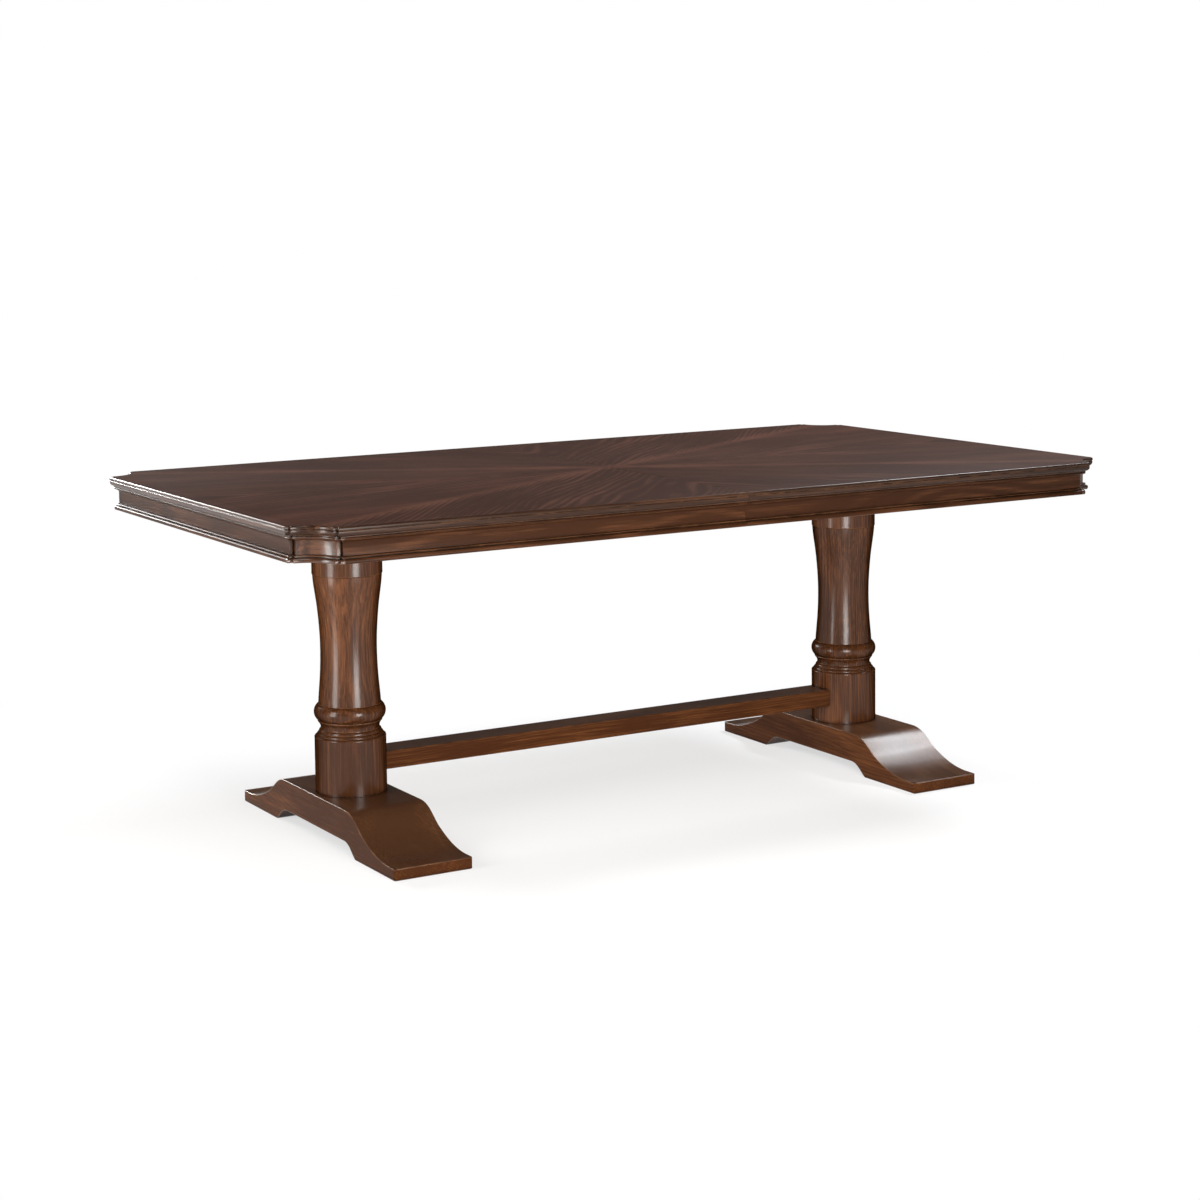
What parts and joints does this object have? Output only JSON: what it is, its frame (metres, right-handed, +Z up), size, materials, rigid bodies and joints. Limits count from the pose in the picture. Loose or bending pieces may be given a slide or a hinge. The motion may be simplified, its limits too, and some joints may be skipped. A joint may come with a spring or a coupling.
{
  "type": "dining table",
  "caption": "Double-pedestal dining table with a scooped-corner moulded top in two halves that slide apart on geared slides, on turned pedestals joined by a stretcher.",
  "frame": {"origin": "on the floor under the middle of the table", "axes": "+X along the length of the top to the right as seen from the front, +Y across the width away from the viewer, +Z up"},
  "size_m": [2.04, 1.15, 0.762],
  "materials": {
    "top_veneer": "satin lacquered walnut-brown veneer",
    "edge_wood": "satin lacquered walnut-brown wood",
    "turned_wood": "satin lacquered walnut-brown wood",
    "plain_wood": "plain waxed hardwood",
    "steel": "zinc-plated steel"
  },
  "bodies": {
    "base": {"bearer_left": "plain_wood", "bearer_right": "plain_wood", "collar_left": "turned_wood", "collar_right": "turned_wood", "column_left": "turned_wood", "column_right": "turned_wood", "fixed_slide_back": "plain_wood", "fixed_slide_front": "plain_wood", "foot_left": "turned_wood", "foot_right": "turned_wood", "pinion_pin_back": "steel", "pinion_pin_front": "steel", "slide_bolts_left": "steel", "slide_bolts_right": "steel", "stretcher": "turned_wood", "tie_rod_left": "steel", "tie_rod_right": "steel"},
    "left_top": {"apron_back_left": "edge_wood", "apron_corners_left": "edge_wood", "apron_end_left": "edge_wood", "apron_front_left": "edge_wood", "base_moulding_back_left": "edge_wood", "base_moulding_corners_left": "edge_wood", "base_moulding_end_left": "edge_wood", "base_moulding_front_left": "edge_wood", "catch_pivot_left": "steel", "catch_stud_left": "steel", "glue_blocks_left": "plain_wood", "moving_slide_back_left": "plain_wood", "moving_slide_front_left": "plain_wood", "rack_back_left": "steel", "rack_front_left": "steel", "seam_batten_left": "plain_wood", "seam_dowels_left": "plain_wood", "slide_screws_left": "steel", "top_panel_left": "top_veneer"},
    "right_top": {"apron_back_right": "edge_wood", "apron_corners_right": "edge_wood", "apron_end_right": "edge_wood", "apron_front_right": "edge_wood", "base_moulding_back_right": "edge_wood", "base_moulding_corners_right": "edge_wood", "base_moulding_end_right": "edge_wood", "base_moulding_front_right": "edge_wood", "catch_pivot_right": "steel", "catch_stud_right": "steel", "glue_blocks_right": "plain_wood", "moving_slide_back_right": "plain_wood", "moving_slide_front_right": "plain_wood", "rack_back_right": "steel", "rack_front_right": "steel", "seam_batten_right": "plain_wood", "seam_dowels_right": "plain_wood", "slide_screws_right": "steel", "top_panel_right": "top_veneer"},
    "front_pinion": {"pinion_front": "steel"},
    "back_pinion": {"pinion_back": "steel"},
    "left_catch": {"catch_lever_left": "steel"},
    "right_catch": {"catch_lever_right": "steel"}
  },
  "joints": [
    {"name": "left_half_slide", "type": "slide", "parent": "base", "child": "left_top", "axis": [-1, 0, 0], "range_m": [0, 0.2286]},
    {"name": "right_half_slide", "type": "slide", "parent": "base", "child": "right_top", "axis": [1, 0, 0], "range_m": [0, 0.2286]},
    {"name": "front_pinion_turn", "type": "hinge", "parent": "base", "child": "front_pinion", "pos_m": [0, -0.385, 0.705], "axis": [0, 0, -1], "continuous": true},
    {"name": "back_pinion_turn", "type": "hinge", "parent": "base", "child": "back_pinion", "pos_m": [0, 0.385, 0.705], "axis": [0, 0, -1], "continuous": true},
    {"name": "left_catch_swing", "type": "hinge", "parent": "left_top", "child": "left_catch", "pos_m": [-0.032, -0.23, 0.7349], "axis": [0, 0, 1], "range_deg": [0, 90]},
    {"name": "right_catch_swing", "type": "hinge", "parent": "right_top", "child": "right_catch", "pos_m": [0.032, 0.23, 0.7349], "axis": [0, 0, 1], "range_deg": [0, 90]}
  ],
  "couplings": [
    {"joint": "right_half_slide", "follows": "left_half_slide", "ratio": 1},
    {"joint": "front_pinion_turn", "follows": "left_half_slide", "rad_per_m": 44.444},
    {"joint": "back_pinion_turn", "follows": "left_half_slide", "rad_per_m": 44.444}
  ]
}
